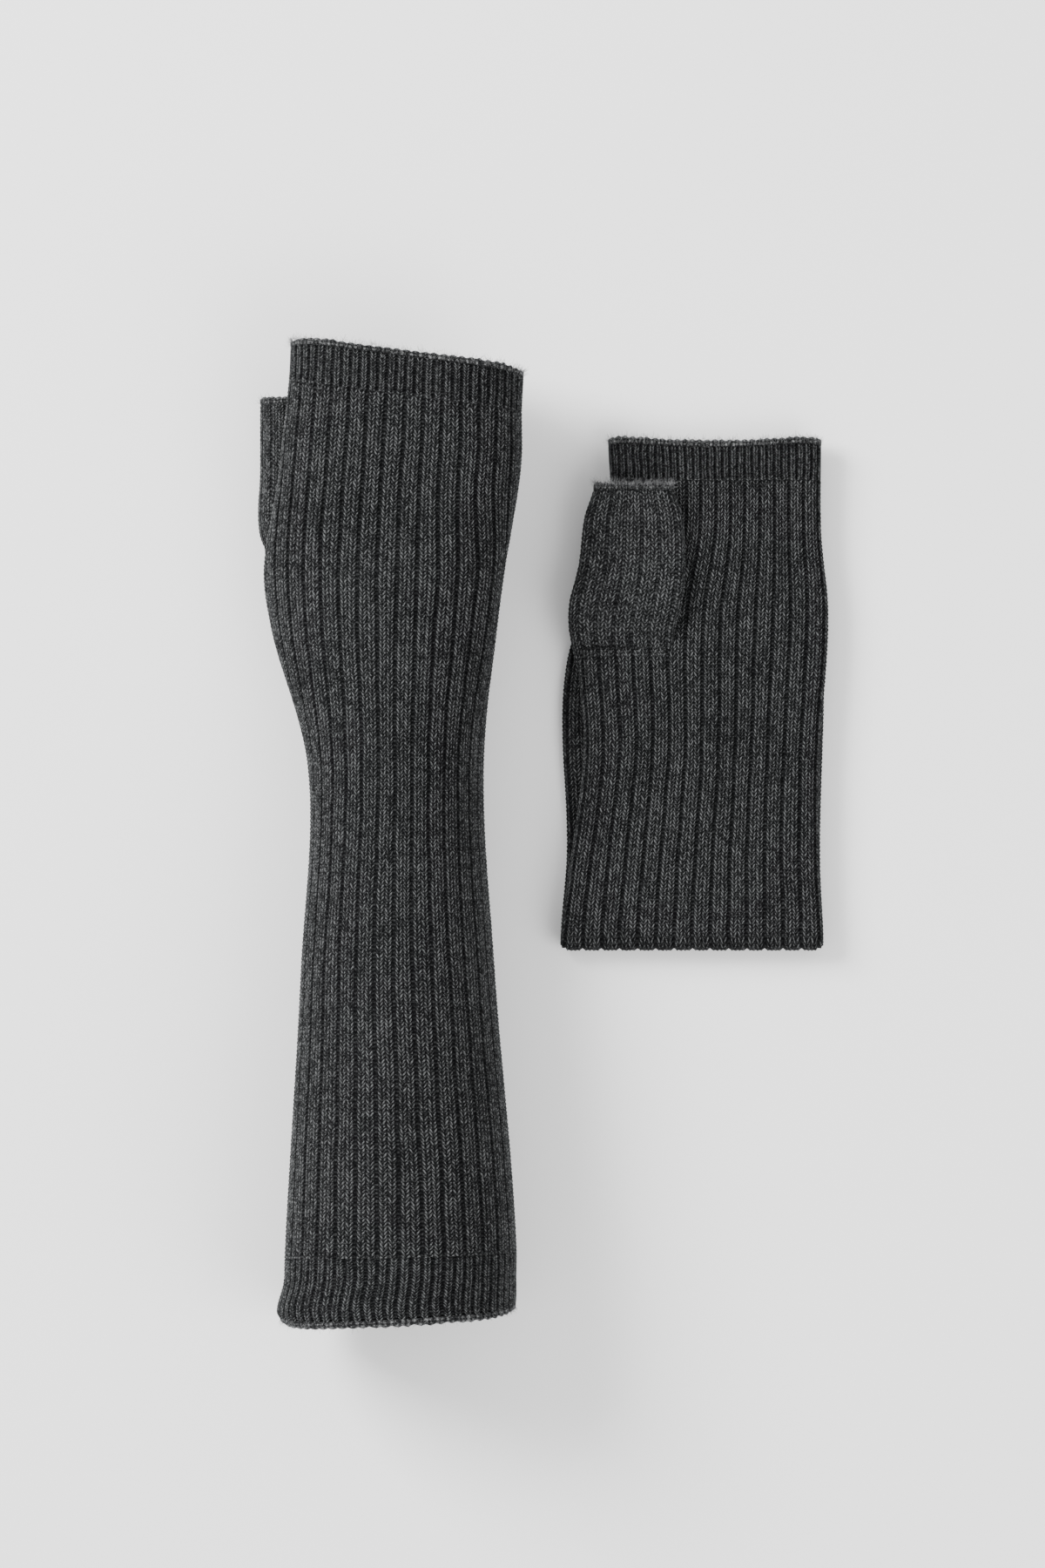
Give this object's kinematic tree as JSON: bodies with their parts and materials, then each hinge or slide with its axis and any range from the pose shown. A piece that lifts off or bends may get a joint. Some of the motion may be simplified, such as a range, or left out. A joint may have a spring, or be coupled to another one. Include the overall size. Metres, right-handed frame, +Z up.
{
  "type": "pair of fingerless gloves",
  "caption": "Long ribbed knitted fingerless gloves with thumb sleeves: one open as worn, its mate pressed flat and folded in half.",
  "frame": {"origin": "under the middle of the pair, on the table they lie on", "axes": "+Y towards the finger ends, +X from the right-hand glove to the left-hand one, +Z up"},
  "size_m": [0.197, 0.3414, 0.0701],
  "materials": {
    "body_rib": "matte",
    "cuff_rib": "matte",
    "thumb_knit": "matte",
    "edge_yarn": "matte"
  },
  "bodies": {
    "right_hand_part": {"right_hand": "body_rib", "right_wrist": "body_rib", "right_finger_cuff": "cuff_rib", "right_finger_edge": "edge_yarn", "right_thumb_join": "edge_yarn"},
    "right_arm_part": {"right_forearm": "body_rib", "right_arm_cuff": "cuff_rib", "right_arm_edge": "edge_yarn"},
    "right_thumb_part": {"right_thumb_sleeve": "thumb_knit", "right_thumb_edge": "edge_yarn"},
    "left_arm_part": {"left_forearm": "body_rib", "left_arm_cuff": "cuff_rib", "left_arm_edge": "edge_yarn", "left_fold": "body_rib"},
    "left_hand_part": {"left_hand": "body_rib", "left_wrist": "body_rib", "left_finger_cuff": "cuff_rib", "left_finger_edge": "edge_yarn", "left_thumb_join": "edge_yarn"},
    "left_thumb_part": {"left_thumb_sleeve": "thumb_knit", "left_thumb_edge": "edge_yarn"}
  },
  "joints": [
    {"name": "right_wrist_bend", "type": "hinge", "parent": "right_hand_part", "child": "right_arm_part", "pos_m": [-0.0515, 0.0237, 0.026], "axis": [-1, 0, 0], "range_deg": [0, 60], "deforming": ["right_wrist"]},
    {"name": "right_thumb_spread", "type": "hinge", "parent": "right_hand_part", "child": "right_thumb_part", "pos_m": [-0.0985, 0.0895, 0.012], "axis": [0, 0, 1], "range_deg": [0, 35], "deforming": ["right_thumb_join"]},
    {"name": "gloves_apart", "type": "slide", "parent": "right_hand_part", "child": "left_arm_part", "axis": [1, 0, 0], "range_m": [0, 0.12]},
    {"name": "left_unfold", "type": "hinge", "parent": "left_arm_part", "child": "left_hand_part", "pos_m": [0.0515, -0.0367, 0.0058], "axis": [1, 0, 0], "range_deg": [0, 176], "deforming": ["left_fold"]},
    {"name": "left_thumb_spread", "type": "hinge", "parent": "left_hand_part", "child": "left_thumb_part", "pos_m": [0.0098, 0.059, 0.015], "axis": [0, 0, 1], "range_deg": [0, 35], "deforming": ["left_thumb_join"]}
  ]
}
